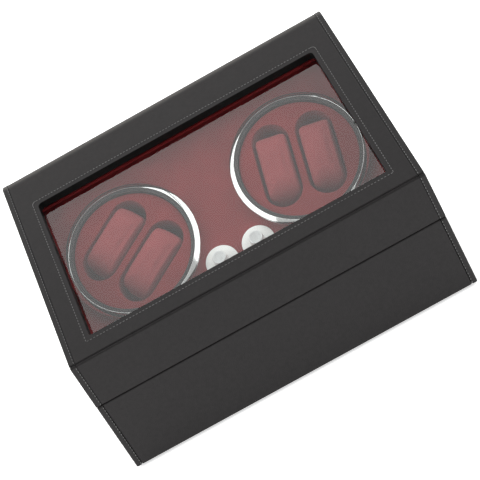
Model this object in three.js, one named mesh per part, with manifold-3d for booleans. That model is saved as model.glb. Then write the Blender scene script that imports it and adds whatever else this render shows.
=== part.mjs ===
// Watch winder box: a leather-wrapped case with a sloping glazed lid, two chrome-rimmed turntables
// that each hold two watch pillows, and the belt drives, switches and hinges that they need.
// Millimetres, +Z up, +X to the right of someone facing the box, front face towards -Y.
import * as THREE from "three";
import { mergeVertices } from "three/addons/utils/BufferGeometryUtils.js";
import Module from "manifold-3d";

const wasm = await Module();
wasm.setup();

// ---- driving dimensions -------------------------------------------------------------------

const GAP = 0.3; // glue line or air between two separate pieces
const WIDTH = 330;
const DEPTH = 205;
const FOOT_HEIGHT = 2.5;
const FOOT_RADIUS = 8;
const FOOT_INSET = { x: 20, y: 20 };
const BOARD = 9; // wrapped wooden board

const SEAM_HEIGHT = 70; // front parting line, above the underside of the case
const SEAM_GAP = 1; // between base rim and lid rim, square to the parting plane
const FOLD_HEIGHT = 114.5; // front edge of the sloping lid top
const LID_SLOPE = THREE.MathUtils.degToRad(27);
const REAR_RADIUS = 14; // rounding between lid top and rear face
const RAIL = 8.6; // thickness of the lid top, which is how deep the glass lies
const REAR_RAIL_BOTTOM = 190;
const WINDOW = { side: 25.5, front: 21, rear: 55 }; // margins, the rear one from the sharp corner
const GLASS = { thickness: 3, lap: 8 };
const RETAINER = { thickness: 3, outerLap: 11.5, innerSetback: 2 };

const HINGE = { x: 100, length: 30, knuckle: 2.2, pin: 1, bore: 1.1, leaf: 1, leafDepth: 8.5, clear: 2.6 };
const KNUCKLES = 5;

const LINER = 3; // velvet-covered side linings that stand above the base rim
const LINER_REAR_GAP = 1.4; // room for the lid's rear board, whose lower edge swings forward
const DECK_SLOPE = THREE.MathUtils.degToRad(42);
const DECK = { thickness: 5, frontY: 9.8, rearY: 186, sideGap: 0.3 };
const LEDGE = { frontY: 178, bottom: 162, top: 168 };

const TURNTABLE_X = 84;
const TURNTABLE_CENTRE = { y: 118.9, z: 123.7 }; // on the deck's top surface
const DECK_HOLE = 57.8;
const DRUM = { inner: 55, outer: 56.2, rim: 8, floorTop: -40, floor: 3, boss: 9, bossBottom: -48 };
const RING = { inner: 54.2, crest: 57.4, outer: 62.5, top: 10, bezelEnd: 7.2, foot: 0.9, wall: 1.2, lip: 6.4 };
const INSERT = { radius: 54.7, top: 6, bottom: -39.7 };
const WELL = { width: 34, length: 80, depth: 38, spacing: 40.5 };
const PILLOW = { width: 28, length: 64, height: 42, lift: 0.5, squareness: 4 };
const TURN = { left: THREE.MathUtils.degToRad(-58), right: THREE.MathUtils.degToRad(-12) };

const SHAFT = { radius: 3, top: -43.9, bottom: -68 };
const RUNNING = 0.05; // radial clearance of a shaft in its bore
const PULLEY = { flange: 32, groove: 30, top: -50, bottom: -58, flangeWidth: 1 };
const BELT = { thickness: 1.2, width: 5 };
const BUSH = { radius: 5.9, flange: 8, flangeTop: -58.6, flangeBottom: -59.6, bottom: -63.4 };
const CARRIER = { top: -60, bottom: -63, postX: 48.9, postY: 38.2, post: 3.5 };
const MOTOR_X = 22;
const MOTOR = { radius: 12, top: -63.4, bottom: -92, boss: 4, bossTop: -59.8, shaft: 1.5, boreBottom: -75 };
const MOTOR_PULLEY = { flange: 6.5, groove: 5, shaftEnd: -74 };

const KNOB_X = 18;
const KNOB_Y = -48.8; // along the deck from the turntables' centre line
const LABEL = { radius: 15.2, bottom: 0.3, top: 1.1 };
const KNOB = { base: 6.9, top: 6.4, bevel: 0.8, bottom: 1.5, crown: 14.5, shaft: 2, shaftEnd: -12 };
const SWITCH = { size: 16, top: -5.3, bottom: -14.5, hole: 3.3 };

const JACK = { x: 110, z: 32, flange: 8, flangeDepth: 1.6, body: 5.5, length: 14, bore: 3, boreDepth: 9.5, pin: 1 };
const BOARD_PCB = { x: 74, y: 44, thickness: 1.6, centreY: 60, height: 15, foot: 4 };

// ---- materials ----------------------------------------------------------------------------

function material(color, roughness, metalness = 0) {
  return new THREE.MeshStandardMaterial({ color, roughness, metalness });
}

const leather = material(0x2b2a2a, 0.5);
const velvet = material(0x6e1018, 0.95);
const chrome = material(0xe6e8ea, 0.08, 1);
const glass = new THREE.MeshStandardMaterial({
  color: 0xf2ecec,
  roughness: 0.03,
  transparent: true,
  opacity: 0.3,
});
const whitePlastic = material(0xf0f0ee, 0.3);
const blackPlastic = material(0x1a1a1c, 0.55);
const steel = material(0xb4b6b8, 0.35, 1);
const brass = material(0xc9a34e, 0.3, 1);
const rubber = material(0x202020, 0.8);
const circuit = material(0x1d5a38, 0.5);

// ---- geometry helpers ---------------------------------------------------------------------

// Corners given as [y, z] pairs, swept along X from x0 to x1.
function sweptAlongX(corners, x0, x1) {
  const outline = new THREE.Shape(corners.map(([y, z]) => new THREE.Vector2(y, z)));
  const geometry = new THREE.ExtrudeGeometry(outline, { depth: x1 - x0, bevelEnabled: false });
  const turn = new THREE.Matrix4().makeBasis(
    new THREE.Vector3(0, 1, 0),
    new THREE.Vector3(0, 0, 1),
    new THREE.Vector3(1, 0, 0),
  );
  return geometry.applyMatrix4(turn).translate(x0, 0, 0);
}

// A flat outline in the local XY plane, thickened from z0 to z1.
function sweptAlongZ(outline, z0, z1, curveSegments = 24) {
  const geometry = new THREE.ExtrudeGeometry(outline, { depth: z1 - z0, bevelEnabled: false, curveSegments });
  return geometry.translate(0, 0, z0);
}

function block(x, y, z) {
  const geometry = new THREE.BoxGeometry(x[1] - x[0], y[1] - y[0], z[1] - z[0]);
  return geometry.translate((x[0] + x[1]) / 2, (y[0] + y[1]) / 2, (z[0] + z[1]) / 2);
}

// An upright cylinder from z0 to z1.
function post(radius, z0, z1, segments = 24) {
  const geometry = new THREE.CylinderGeometry(radius, radius, z1 - z0, segments);
  return geometry.rotateX(Math.PI / 2).translate(0, 0, (z0 + z1) / 2);
}

// A cylinder that lies along X from x0 to x1.
function rod(radius, x0, x1, segments = 14) {
  const geometry = new THREE.CylinderGeometry(radius, radius, x1 - x0, segments);
  return geometry.rotateZ(Math.PI / 2).translate((x0 + x1) / 2, 0, 0);
}

// [radius, height] pairs turned about the local Z axis. The profile runs up the outside.
function turned(profile, segments = 48) {
  const points = profile.map(([radius, height]) => new THREE.Vector2(radius, height));
  return new THREE.LatheGeometry(points, segments).rotateX(Math.PI / 2);
}

function closedProfile(points) {
  return [...points, points[0]];
}

function toSolid(geometry) {
  const bare = geometry.clone();
  bare.deleteAttribute("normal");
  bare.deleteAttribute("uv");
  const merged = mergeVertices(bare, 1e-4);
  return new wasm.Manifold(
    new wasm.Mesh({
      numProp: 3,
      vertProperties: merged.attributes.position.array,
      triVerts: new Uint32Array(merged.index.array),
    }),
  );
}

function fromSolid(solid) {
  const mesh = solid.getMesh();
  const geometry = new THREE.BufferGeometry();
  geometry.setAttribute("position", new THREE.BufferAttribute(new Float32Array(mesh.vertProperties), 3));
  geometry.setIndex(new THREE.BufferAttribute(new Uint32Array(mesh.triVerts), 1));
  const flat = geometry.toNonIndexed();
  flat.computeVertexNormals();
  return flat;
}

// Joins the first list of geometries into one body and cuts the second list from it.
function carved(joined, cuts = []) {
  let solid = joined.map(toSolid).reduce((a, b) => a.add(b));
  for (const cut of cuts) {
    solid = solid.subtract(toSolid(cut));
  }
  return fromSolid(solid);
}

function roundedSlot(width, length) {
  const radius = width / 2;
  const reach = length / 2 - radius;
  const slot = new THREE.Shape();
  slot.absarc(0, reach, radius, 0, Math.PI);
  slot.absarc(0, -reach, radius, Math.PI, 2 * Math.PI);
  slot.closePath();
  return slot;
}

// ---- frames of reference ------------------------------------------------------------------

const winder = new THREE.Group();

// The case's own frame: y from the front face, z from the underside, centred left to right.
const box = new THREE.Group();
box.position.set(0, -(DEPTH + HINGE.knuckle) / 2, FOOT_HEIGHT);
winder.add(box);

// The lid top's frame: y up the slope from the fold, z square to the top surface.
const lidTop = new THREE.Group();
lidTop.position.z = FOLD_HEIGHT;
lidTop.rotation.x = LID_SLOPE;
box.add(lidTop);

function inTilted(slope, origin, along, normal) {
  return [
    origin[0] + along * Math.cos(slope) - normal * Math.sin(slope),
    origin[1] + along * Math.sin(slope) + normal * Math.cos(slope),
  ];
}

// [y, z] in the case's frame of a point in the lid top's frame.
function onLid(along, normal) {
  return inTilted(LID_SLOPE, [0, FOLD_HEIGHT], along, normal);
}

// Height of the parting plane, or of a plane parallel to it, at depth y.
function partingZ(y, normal) {
  return SEAM_HEIGHT + y * Math.tan(LID_SLOPE) + normal / Math.cos(LID_SLOPE);
}

// Height of a plane parallel to the lid top at depth y.
function lidZ(y, normal) {
  return FOLD_HEIGHT + y * Math.tan(LID_SLOPE) + normal / Math.cos(LID_SLOPE);
}

function addMesh(parent, name, geometry, finish) {
  const mesh = new THREE.Mesh(geometry, finish);
  mesh.name = name;
  parent.add(mesh);
  return mesh;
}

const SIDES = [
  { name: "left", sign: -1 },
  { name: "right", sign: 1 },
];

// [low, high] of a slab at the given distances from the middle, on one side.
function slab(sign, inner, outer) {
  return sign > 0 ? [inner, outer] : [-outer, -inner];
}

// ---- case ---------------------------------------------------------------------------------

const HALF = WIDTH / 2;
const INSIDE = HALF - BOARD;
const BETWEEN = INSIDE - GAP;

// The hinge axis lies on the parting plane, in the plane of the rear face.
const HINGE_AXIS = [DEPTH, partingZ(DEPTH, 0)];

// Moves a geometry drawn around the hinge axis, with y along the parting plane, to its hinge.
function atHinge(geometry, x) {
  return geometry.rotateX(LID_SLOPE).translate(x, HINGE_AXIS[0], HINGE_AXIS[1]);
}

// The pocket for the leaf and the knuckles, cut in the rear board under or over the parting.
function hingePockets(direction) {
  const half = HINGE.length / 2 + GAP;
  const face = SEAM_GAP / 2 - GAP;
  const depth = HINGE.leaf + 0.1 + GAP;
  const levels = direction > 0 ? [face, depth] : [-depth, -face];
  return SIDES.flatMap(({ sign }) => [
    atHinge(block([-half, half], [-HINGE.leafDepth - GAP, 0], levels), sign * HINGE.x),
    atHinge(rod(HINGE.clear, -half, half), sign * HINGE.x),
  ]);
}

function addBase() {
  const rim = -SEAM_GAP / 2;
  const side = [
    [0, 0],
    [DEPTH, 0],
    [DEPTH, partingZ(DEPTH, rim)],
    [0, partingZ(0, rim)],
  ];
  for (const { name, sign } of SIDES) {
    const [x0, x1] = slab(sign, INSIDE, HALF);
    addMesh(box, `base_side_${name}`, sweptAlongX(side, x0, x1), leather);
  }
  const front = [
    [0, 0],
    [BOARD, 0],
    [BOARD, partingZ(BOARD, rim)],
    [0, partingZ(0, rim)],
  ];
  addMesh(box, "base_front_board", sweptAlongX(front, -BETWEEN, BETWEEN), leather);
  const rear = [
    [DEPTH - BOARD, 0],
    [DEPTH, 0],
    [DEPTH, partingZ(DEPTH, rim)],
    [DEPTH - BOARD, partingZ(DEPTH - BOARD, rim)],
  ];
  const jackHole = post(JACK.body + GAP, -BOARD, BOARD).rotateX(Math.PI / 2);
  jackHole.translate(JACK.x, DEPTH - BOARD / 2, JACK.z);
  const rearBoard = carved([sweptAlongX(rear, -BETWEEN, BETWEEN)], [...hingePockets(-1), jackHole]);
  addMesh(box, "base_rear_board", rearBoard, leather);
  const inner = [BOARD + GAP, DEPTH - BOARD - GAP];
  addMesh(box, "base_bottom_board", block([-BETWEEN, BETWEEN], inner, [0, BOARD]), leather);
}

function addFeet() {
  const rows = [
    { name: "front", y: FOOT_INSET.y },
    { name: "rear", y: DEPTH - FOOT_INSET.y },
  ];
  const profile = [
    [0, 0],
    [FOOT_RADIUS - 0.8, 0],
    [FOOT_RADIUS, FOOT_HEIGHT - GAP],
    [0, FOOT_HEIGHT - GAP],
  ];
  for (const row of rows) {
    for (const { name, sign } of SIDES) {
      const foot = addMesh(box, `foot_${row.name}_${name}`, turned(profile, 16), rubber);
      foot.position.set(sign * (HALF - FOOT_INSET.x), row.y, -FOOT_HEIGHT);
    }
  }
}

function addLinings() {
  const rearY = DEPTH - BOARD - LINER_REAR_GAP;
  const profile = [
    [BOARD + 2 * GAP, BOARD + GAP],
    [rearY, BOARD + GAP],
    [rearY, 180],
    [DECK.rearY, 187],
    [BOARD + 2 * GAP, 74],
  ];
  for (const { name, sign } of SIDES) {
    const [x0, x1] = slab(sign, BETWEEN - LINER, BETWEEN);
    addMesh(box, `side_lining_${name}`, sweptAlongX(profile, x0, x1), velvet);
  }
  const width = BETWEEN - LINER - GAP;
  const ledge = block([-width, width], [LEDGE.frontY, rearY], [LEDGE.bottom, LEDGE.top]);
  addMesh(box, "rear_ledge", ledge, velvet);
}

// ---- lid ----------------------------------------------------------------------------------

const SLOPE_LENGTH = DEPTH / Math.cos(LID_SLOPE);
const WINDOW_REAR = SLOPE_LENGTH - WINDOW.rear;
const WINDOW_HALF = HALF - WINDOW.side;

function addFrontRail() {
  const profile = [
    [0, lidZ(0, -RAIL)],
    onLid(WINDOW.front, -RAIL),
    onLid(WINDOW.front, 0),
    onLid(0, 0),
  ];
  addMesh(box, "lid_rail_front", sweptAlongX(profile, -HALF, HALF), leather);
}

function addRearRail() {
  const tangent = REAR_RADIUS / Math.tan((Math.PI / 2 - LID_SLOPE) / 2);
  const centre = [DEPTH - REAR_RADIUS, lidZ(DEPTH, 0) - tangent];
  const steps = 10;
  const rounding = [];
  for (let i = 0; i <= steps; i += 1) {
    const angle = ((Math.PI / 2 + LID_SLOPE) * i) / steps;
    rounding.push([centre[0] + REAR_RADIUS * Math.cos(angle), centre[1] + REAR_RADIUS * Math.sin(angle)]);
  }
  const profile = [
    onLid(WINDOW_REAR, -RAIL),
    onLid(WINDOW_REAR + GLASS.lap + 1, -RAIL),
    [DEPTH - BOARD, REAR_RAIL_BOTTOM],
    [DEPTH, REAR_RAIL_BOTTOM],
    ...rounding,
    onLid(WINDOW_REAR, 0),
  ];
  addMesh(box, "lid_rail_rear", sweptAlongX(profile, -HALF, HALF), leather);
}

function addLidWalls() {
  const rim = SEAM_GAP / 2;
  const under = -RAIL - GAP;
  const band = [
    [0, partingZ(0, rim)],
    [BOARD, partingZ(BOARD, rim)],
    [BOARD, lidZ(BOARD, under)],
    [0, lidZ(0, under)],
  ];
  addMesh(box, "lid_front_board", sweptAlongX(band, -BETWEEN, BETWEEN), leather);
  const top = REAR_RAIL_BOTTOM - GAP;
  const sideRear = DEPTH - BOARD - GAP;
  const kneeY = (top - lidZ(0, under)) / Math.tan(LID_SLOPE);
  const side = [
    [0, partingZ(0, rim)],
    [sideRear, partingZ(sideRear, rim)],
    [sideRear, top],
    [kneeY, top],
    [0, lidZ(0, under)],
  ];
  const rear = [
    [DEPTH - BOARD, partingZ(DEPTH - BOARD, rim)],
    [DEPTH, partingZ(DEPTH, rim)],
    [DEPTH, top],
    [DEPTH - BOARD, top],
  ];
  for (const { name, sign } of SIDES) {
    const [x0, x1] = slab(sign, INSIDE, HALF);
    addMesh(box, `lid_side_${name}`, sweptAlongX(side, x0, x1), leather);
  }
  addMesh(box, "lid_rear_board", carved([sweptAlongX(rear, -HALF, HALF)], hingePockets(1)), leather);
}

function addGlazing() {
  for (const { name, sign } of SIDES) {
    const along = [WINDOW.front + GAP, WINDOW_REAR - GAP];
    const rail = block(slab(sign, WINDOW_HALF, HALF), along, [-RAIL, 0]);
    addMesh(lidTop, `lid_rail_${name}`, rail, leather);
  }
  const paneTop = -RAIL - GAP;
  const paneBottom = paneTop - GLASS.thickness;
  const paneHalf = WINDOW_HALF + GLASS.lap;
  const paneAlong = [WINDOW.front - GLASS.lap, WINDOW_REAR + GLASS.lap];
  addMesh(lidTop, "lid_glass", block([-paneHalf, paneHalf], paneAlong, [paneBottom, paneTop]), glass);

  const outer = RETAINER.outerLap;
  const inner = RETAINER.innerSetback;
  const frame = rectangle(-WINDOW_HALF - outer, WINDOW.front - outer, WINDOW_HALF + outer, WINDOW_REAR + outer);
  const hole = rectangle(-WINDOW_HALF - inner, WINDOW.front - inner, WINDOW_HALF + inner, WINDOW_REAR + inner);
  frame.holes.push(hole);
  const frameTop = paneBottom - GAP;
  const retainer = sweptAlongZ(frame, frameTop - RETAINER.thickness, frameTop);
  addMesh(lidTop, "glass_retainer", retainer, velvet);
}

function rectangle(x0, y0, x1, y1) {
  const shape = new THREE.Shape();
  shape.moveTo(x0, y0);
  shape.lineTo(x1, y0);
  shape.lineTo(x1, y1);
  shape.lineTo(x0, y1);
  shape.closePath();
  return shape;
}

// ---- hinges -------------------------------------------------------------------------------

// One leaf: a plate in the parting plane with every other knuckle, cleared for the opposite leaf.
function hingeLeaf(direction, firstKnuckle) {
  const half = HINGE.length / 2;
  const pitch = HINGE.length / KNUCKLES;
  const face = 0.1;
  const levels = direction > 0 ? [face, face + HINGE.leaf] : [-face - HINGE.leaf, -face];
  const plate = block([-half, half], [-HINGE.leafDepth, 0], levels);
  const knuckles = [];
  const clearances = [rod(HINGE.bore, -half - 1, half + 1, 12)];
  for (let i = 0; i < KNUCKLES; i += 1) {
    const x = -half + i * pitch;
    if (i % 2 === firstKnuckle) {
      const start = i === 0 ? x : x + GAP / 2;
      const end = i === KNUCKLES - 1 ? x + pitch : x + pitch - GAP / 2;
      knuckles.push(rod(HINGE.knuckle, start, end));
    } else {
      clearances.push(rod(HINGE.clear, x - GAP / 2, x + pitch + GAP / 2));
    }
  }
  return carved([plate, ...knuckles], clearances);
}

function addHinges() {
  for (const { name, sign } of SIDES) {
    const x = sign * HINGE.x;
    addMesh(box, `hinge_base_leaf_${name}`, atHinge(hingeLeaf(-1, 0), x), brass);
    addMesh(box, `hinge_lid_leaf_${name}`, atHinge(hingeLeaf(1, 1), x), brass);
    const half = HINGE.length / 2;
    addMesh(box, `hinge_pin_${name}`, atHinge(rod(HINGE.pin, -half, half, 12), x), steel);
  }
}

// ---- deck, switches and knobs -------------------------------------------------------------

// The deck's frame: y up its slope and z square to its top, from between the turntables.
const deck = new THREE.Group();
deck.position.set(0, TURNTABLE_CENTRE.y, TURNTABLE_CENTRE.z);
deck.rotation.x = DECK_SLOPE;
box.add(deck);

function circleHole(x, y, radius) {
  const hole = new THREE.Path();
  hole.absarc(x, y, radius, 0, 2 * Math.PI);
  return hole;
}

function addDeckPanel() {
  const half = BETWEEN - LINER - DECK.sideGap;
  const front = (DECK.frontY - TURNTABLE_CENTRE.y) / Math.cos(DECK_SLOPE);
  const rear = (DECK.rearY - TURNTABLE_CENTRE.y) / Math.cos(DECK_SLOPE);
  const panel = rectangle(-half, front, half, rear);
  for (const { sign } of SIDES) {
    panel.holes.push(circleHole(sign * TURNTABLE_X, 0, DECK_HOLE));
    panel.holes.push(circleHole(sign * KNOB_X, KNOB_Y, SWITCH.hole));
  }
  addMesh(deck, "deck_panel", sweptAlongZ(panel, -DECK.thickness, 0), velvet);
}

function knobProfile() {
  return [
    [0, KNOB.shaftEnd],
    [KNOB.shaft, KNOB.shaftEnd],
    [KNOB.shaft, KNOB.bottom],
    [KNOB.base, KNOB.bottom],
    [KNOB.top, KNOB.crown - KNOB.bevel],
    [KNOB.top - KNOB.bevel, KNOB.crown],
    [0, KNOB.crown],
  ];
}

function addControls() {
  const half = SWITCH.size / 2;
  for (const { name, sign } of SIDES) {
    const station = new THREE.Group();
    station.position.set(sign * KNOB_X, KNOB_Y, 0);
    deck.add(station);
    const disc = new THREE.Shape();
    disc.absarc(0, 0, LABEL.radius, 0, 2 * Math.PI);
    disc.holes.push(circleHole(0, 0, SWITCH.hole));
    addMesh(station, `label_disc_${name}`, sweptAlongZ(disc, LABEL.bottom, LABEL.top, 16), whitePlastic);
    addMesh(station, `knob_${name}`, turned(knobProfile(), 24), whitePlastic);
    const body = block([-half, half], [-half, half], [SWITCH.bottom, SWITCH.top]);
    const bore = post(KNOB.shaft + RUNNING, KNOB.shaftEnd - GAP, 0, 24);
    addMesh(station, `rotary_switch_${name}`, carved([body], [bore]), blackPlastic);
  }
}

// ---- turntables ---------------------------------------------------------------------------

function drumProfile() {
  const bore = SHAFT.radius + RUNNING;
  const boreTop = SHAFT.top + GAP;
  return [
    [0, boreTop],
    [bore, boreTop],
    [bore, DRUM.bossBottom],
    [DRUM.boss, DRUM.bossBottom],
    [DRUM.boss, DRUM.floorTop - DRUM.floor],
    [DRUM.outer, DRUM.floorTop - DRUM.floor],
    [DRUM.outer, DRUM.rim],
    [DRUM.inner, DRUM.rim],
    [DRUM.inner, DRUM.floorTop],
    [0, DRUM.floorTop],
  ];
}

// A pressed channel over the drum's rim: an inner lip, a narrow crest, a sloping bezel and a skirt.
function ringProfile() {
  const under = DRUM.rim + GAP;
  return closedProfile([
    [RING.outer - RING.wall, RING.foot],
    [RING.outer, RING.foot],
    [RING.outer, RING.bezelEnd - 1],
    [RING.outer - 0.7, RING.bezelEnd],
    [RING.crest, RING.top],
    [RING.crest - 1, RING.top - 0.6],
    [RING.inner, RING.top - 0.8],
    [RING.inner, RING.lip],
    [DRUM.inner - GAP, RING.lip],
    [DRUM.inner - GAP, under],
    [RING.crest, under],
    [RING.outer - RING.wall, RING.bezelEnd - 1.4],
  ]);
}

function pillowGeometry() {
  const steps = 36;
  const halfLength = PILLOW.length / 2;
  const halfHeight = PILLOW.height / 2;
  const power = 2 / PILLOW.squareness;
  const outline = [];
  for (let i = 0; i < steps; i += 1) {
    const angle = (2 * Math.PI * i) / steps;
    const c = Math.cos(angle);
    const s = Math.sin(angle);
    outline.push([
      Math.sign(c) * halfLength * Math.abs(c) ** power,
      Math.sign(s) * halfHeight * Math.abs(s) ** power,
    ]);
  }
  return sweptAlongX(outline, -PILLOW.width / 2, PILLOW.width / 2);
}

function addTurntable(station, name) {
  addMesh(station, `turntable_drum_${name}`, turned(drumProfile(), 30), blackPlastic);
  addMesh(station, `turntable_ring_${name}`, turned(ringProfile(), 40), chrome);

  const wellBottom = INSERT.top - WELL.depth;
  const wells = [-1, 1].map((side) => {
    const well = sweptAlongZ(roundedSlot(WELL.width, WELL.length), wellBottom, INSERT.top + 1, 8);
    return well.translate((side * WELL.spacing) / 2, 0, 0);
  });
  const insert = carved([post(INSERT.radius, INSERT.bottom, INSERT.top, 36)], wells);
  addMesh(station, `velvet_insert_${name}`, insert, velvet);

  const pillowZ = wellBottom + PILLOW.lift + PILLOW.height / 2;
  [-1, 1].forEach((side, index) => {
    const pillow = addMesh(station, `watch_pillow_${name}_${index + 1}`, pillowGeometry(), velvet);
    pillow.position.set((side * WELL.spacing) / 2, 0, pillowZ);
  });
}

// ---- belt drives --------------------------------------------------------------------------

function spindleProfile() {
  return [
    [0, SHAFT.bottom],
    [SHAFT.radius, SHAFT.bottom],
    [SHAFT.radius, PULLEY.bottom],
    [PULLEY.flange, PULLEY.bottom],
    [PULLEY.flange, PULLEY.bottom + PULLEY.flangeWidth],
    [PULLEY.groove, PULLEY.bottom + PULLEY.flangeWidth],
    [PULLEY.groove, PULLEY.top - PULLEY.flangeWidth],
    [PULLEY.flange, PULLEY.top - PULLEY.flangeWidth],
    [PULLEY.flange, PULLEY.top],
    [SHAFT.radius, PULLEY.top],
    [SHAFT.radius, SHAFT.top],
    [0, SHAFT.top],
  ];
}

function motorPulleyProfile() {
  return [
    [0, MOTOR_PULLEY.shaftEnd],
    [MOTOR.shaft, MOTOR_PULLEY.shaftEnd],
    [MOTOR.shaft, PULLEY.bottom],
    [MOTOR_PULLEY.flange, PULLEY.bottom],
    [MOTOR_PULLEY.flange, PULLEY.bottom + PULLEY.flangeWidth],
    [MOTOR_PULLEY.groove, PULLEY.bottom + PULLEY.flangeWidth],
    [MOTOR_PULLEY.groove, PULLEY.top - PULLEY.flangeWidth],
    [MOTOR_PULLEY.flange, PULLEY.top - PULLEY.flangeWidth],
    [MOTOR_PULLEY.flange, PULLEY.top],
    [0, PULLEY.top],
  ];
}

function motorProfile() {
  const bore = MOTOR.shaft + RUNNING;
  return [
    [0, MOTOR.bottom],
    [MOTOR.radius - 1, MOTOR.bottom],
    [MOTOR.radius, MOTOR.bottom + 1],
    [MOTOR.radius, MOTOR.top],
    [MOTOR.boss, MOTOR.top],
    [MOTOR.boss, MOTOR.bossTop],
    [bore, MOTOR.bossTop],
    [bore, MOTOR.boreBottom],
    [0, MOTOR.boreBottom],
  ];
}

// The outline that a taut belt makes round two wheels on the X axis.
function beltOutline(x1, radius1, x2, radius2, path) {
  const lean = Math.acos((radius1 - radius2) / Math.abs(x2 - x1));
  const facing = x2 > x1 ? 0 : Math.PI;
  path.absarc(x1, 0, radius1, facing + lean, facing - lean + 2 * Math.PI);
  path.absarc(x2, 0, radius2, facing - lean, facing + lean);
  path.closePath();
  return path;
}

function beltGeometry(motorX) {
  const inner = GAP;
  const outer = GAP + BELT.thickness;
  const loop = beltOutline(0, PULLEY.groove + outer, motorX, MOTOR_PULLEY.groove + outer, new THREE.Shape());
  loop.holes.push(
    beltOutline(0, PULLEY.groove + inner, motorX, MOTOR_PULLEY.groove + inner, new THREE.Path()),
  );
  const middle = (PULLEY.top + PULLEY.bottom) / 2;
  return sweptAlongZ(loop, middle - BELT.width / 2, middle + BELT.width / 2, 10);
}

// The plate behind a turntable, with four posts up to the deck and a wing for the motor.
function carrierGeometry(motorX) {
  const side = Math.sign(motorX);
  const reachX = CARRIER.postX + CARRIER.post + 1.5;
  const reachY = CARRIER.postY + CARRIER.post + 1.5;
  const wingX = Math.abs(motorX) + MOTOR.radius + 2;
  const wingY = MOTOR.radius + 3;
  const corners = [
    [-reachX, -reachY],
    [reachX, -reachY],
    [wingX, -wingY],
    [wingX, wingY],
    [reachX, reachY],
    [-reachX, reachY],
  ];
  const outline = new THREE.Shape(corners.map(([x, y]) => new THREE.Vector2(side * x, y)));
  outline.holes.push(circleHole(0, 0, BUSH.radius + GAP));
  outline.holes.push(circleHole(motorX, 0, MOTOR.boss + GAP));
  const pieces = [sweptAlongZ(outline, CARRIER.bottom, CARRIER.top, 12)];
  for (const x of [-CARRIER.postX, CARRIER.postX]) {
    for (const y of [-CARRIER.postY, CARRIER.postY]) {
      pieces.push(post(CARRIER.post, CARRIER.bottom + 1, -DECK.thickness - GAP, 10).translate(x, y, 0));
    }
  }
  return carved(pieces);
}

function bushProfile() {
  const bore = SHAFT.radius + RUNNING;
  return closedProfile([
    [bore, BUSH.bottom],
    [BUSH.radius, BUSH.bottom],
    [BUSH.radius, BUSH.flangeBottom],
    [BUSH.flange, BUSH.flangeBottom],
    [BUSH.flange, BUSH.flangeTop],
    [bore, BUSH.flangeTop],
  ]);
}

function addDrive(station, name, sign) {
  const motorX = -sign * (TURNTABLE_X - MOTOR_X);
  addMesh(station, `turntable_spindle_${name}`, turned(spindleProfile(), 24), blackPlastic);
  addMesh(station, `spindle_bush_${name}`, turned(bushProfile(), 24), brass);
  addMesh(station, `drive_carrier_${name}`, carrierGeometry(motorX), blackPlastic);
  addMesh(station, `drive_belt_${name}`, beltGeometry(motorX), rubber);
  addMesh(station, `gear_motor_${name}`, turned(motorProfile(), 16), steel).position.x = motorX;
  const pulley = addMesh(station, `motor_pulley_${name}`, turned(motorPulleyProfile(), 16), whitePlastic);
  pulley.position.x = motorX;
}

function addTurntables() {
  for (const { name, sign } of SIDES) {
    const station = new THREE.Group();
    station.position.x = sign * TURNTABLE_X;
    deck.add(station);
    addDrive(station, name, sign);
    const rotor = new THREE.Group();
    rotor.rotation.z = TURN[name];
    station.add(rotor);
    addTurntable(rotor, name);
  }
}

// ---- electrics ----------------------------------------------------------------------------

// The power inlet: a flanged socket through the rear board, with a centre pin in its bore.
function addJack() {
  const face = JACK.flangeDepth;
  const profile = [
    [0, face - JACK.boreDepth],
    [JACK.bore, face - JACK.boreDepth],
    [JACK.bore, face],
    [JACK.flange - 0.5, face],
    [JACK.flange, face - 0.5],
    [JACK.flange, 0],
    [JACK.body, 0],
    [JACK.body, -JACK.length],
    [0, -JACK.length],
  ];
  const socket = turned(profile.reverse(), 20);
  const pin = post(JACK.pin, face - JACK.boreDepth - 1, -1, 12);
  const jack = addMesh(box, "dc_jack", carved([socket, pin]), blackPlastic);
  jack.rotation.x = -Math.PI / 2;
  jack.position.set(JACK.x, DEPTH + GAP, JACK.z);
}

function addControlBoard() {
  const { x, y, thickness, height, foot } = BOARD_PCB;
  const top = height + thickness;
  const half = { x: x / 2, y: y / 2 };
  const parts = [
    block([-half.x, half.x], [-half.y, half.y], [height, top]),
    block([-12, -2], [-6, 8], [top - 0.5, top + 3]),
    block([10, 30], [6, 16], [top - 0.5, top + 7]),
    post(5, top - 0.5, top + 12, 12).translate(-26, -8, 0),
  ];
  for (const sx of [-1, 1]) {
    for (const sy of [-1, 1]) {
      const stud = post(foot / 2, BOARD + GAP, height + 0.5, 8);
      parts.push(stud.translate(sx * (half.x - foot), sy * (half.y - foot), 0));
    }
  }
  const board = addMesh(box, "control_board", carved(parts), circuit);
  board.position.y = BOARD_PCB.centreY;
}

addBase();
addFeet();
addLinings();
addFrontRail();
addRearRail();
addLidWalls();
addGlazing();
addHinges();
addDeckPanel();
addControls();
addTurntables();
addJack();
addControlBoard();

export default winder;
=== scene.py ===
"""Looks for the watch winder box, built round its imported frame.

Lengths are millimetres, in the case's, lid's or deck's own frame, unless a comment says metres.
"""

import math

import bmesh
import bpy
from mathutils import Matrix, Vector
from mathutils.bvhtree import BVHTree


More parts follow.
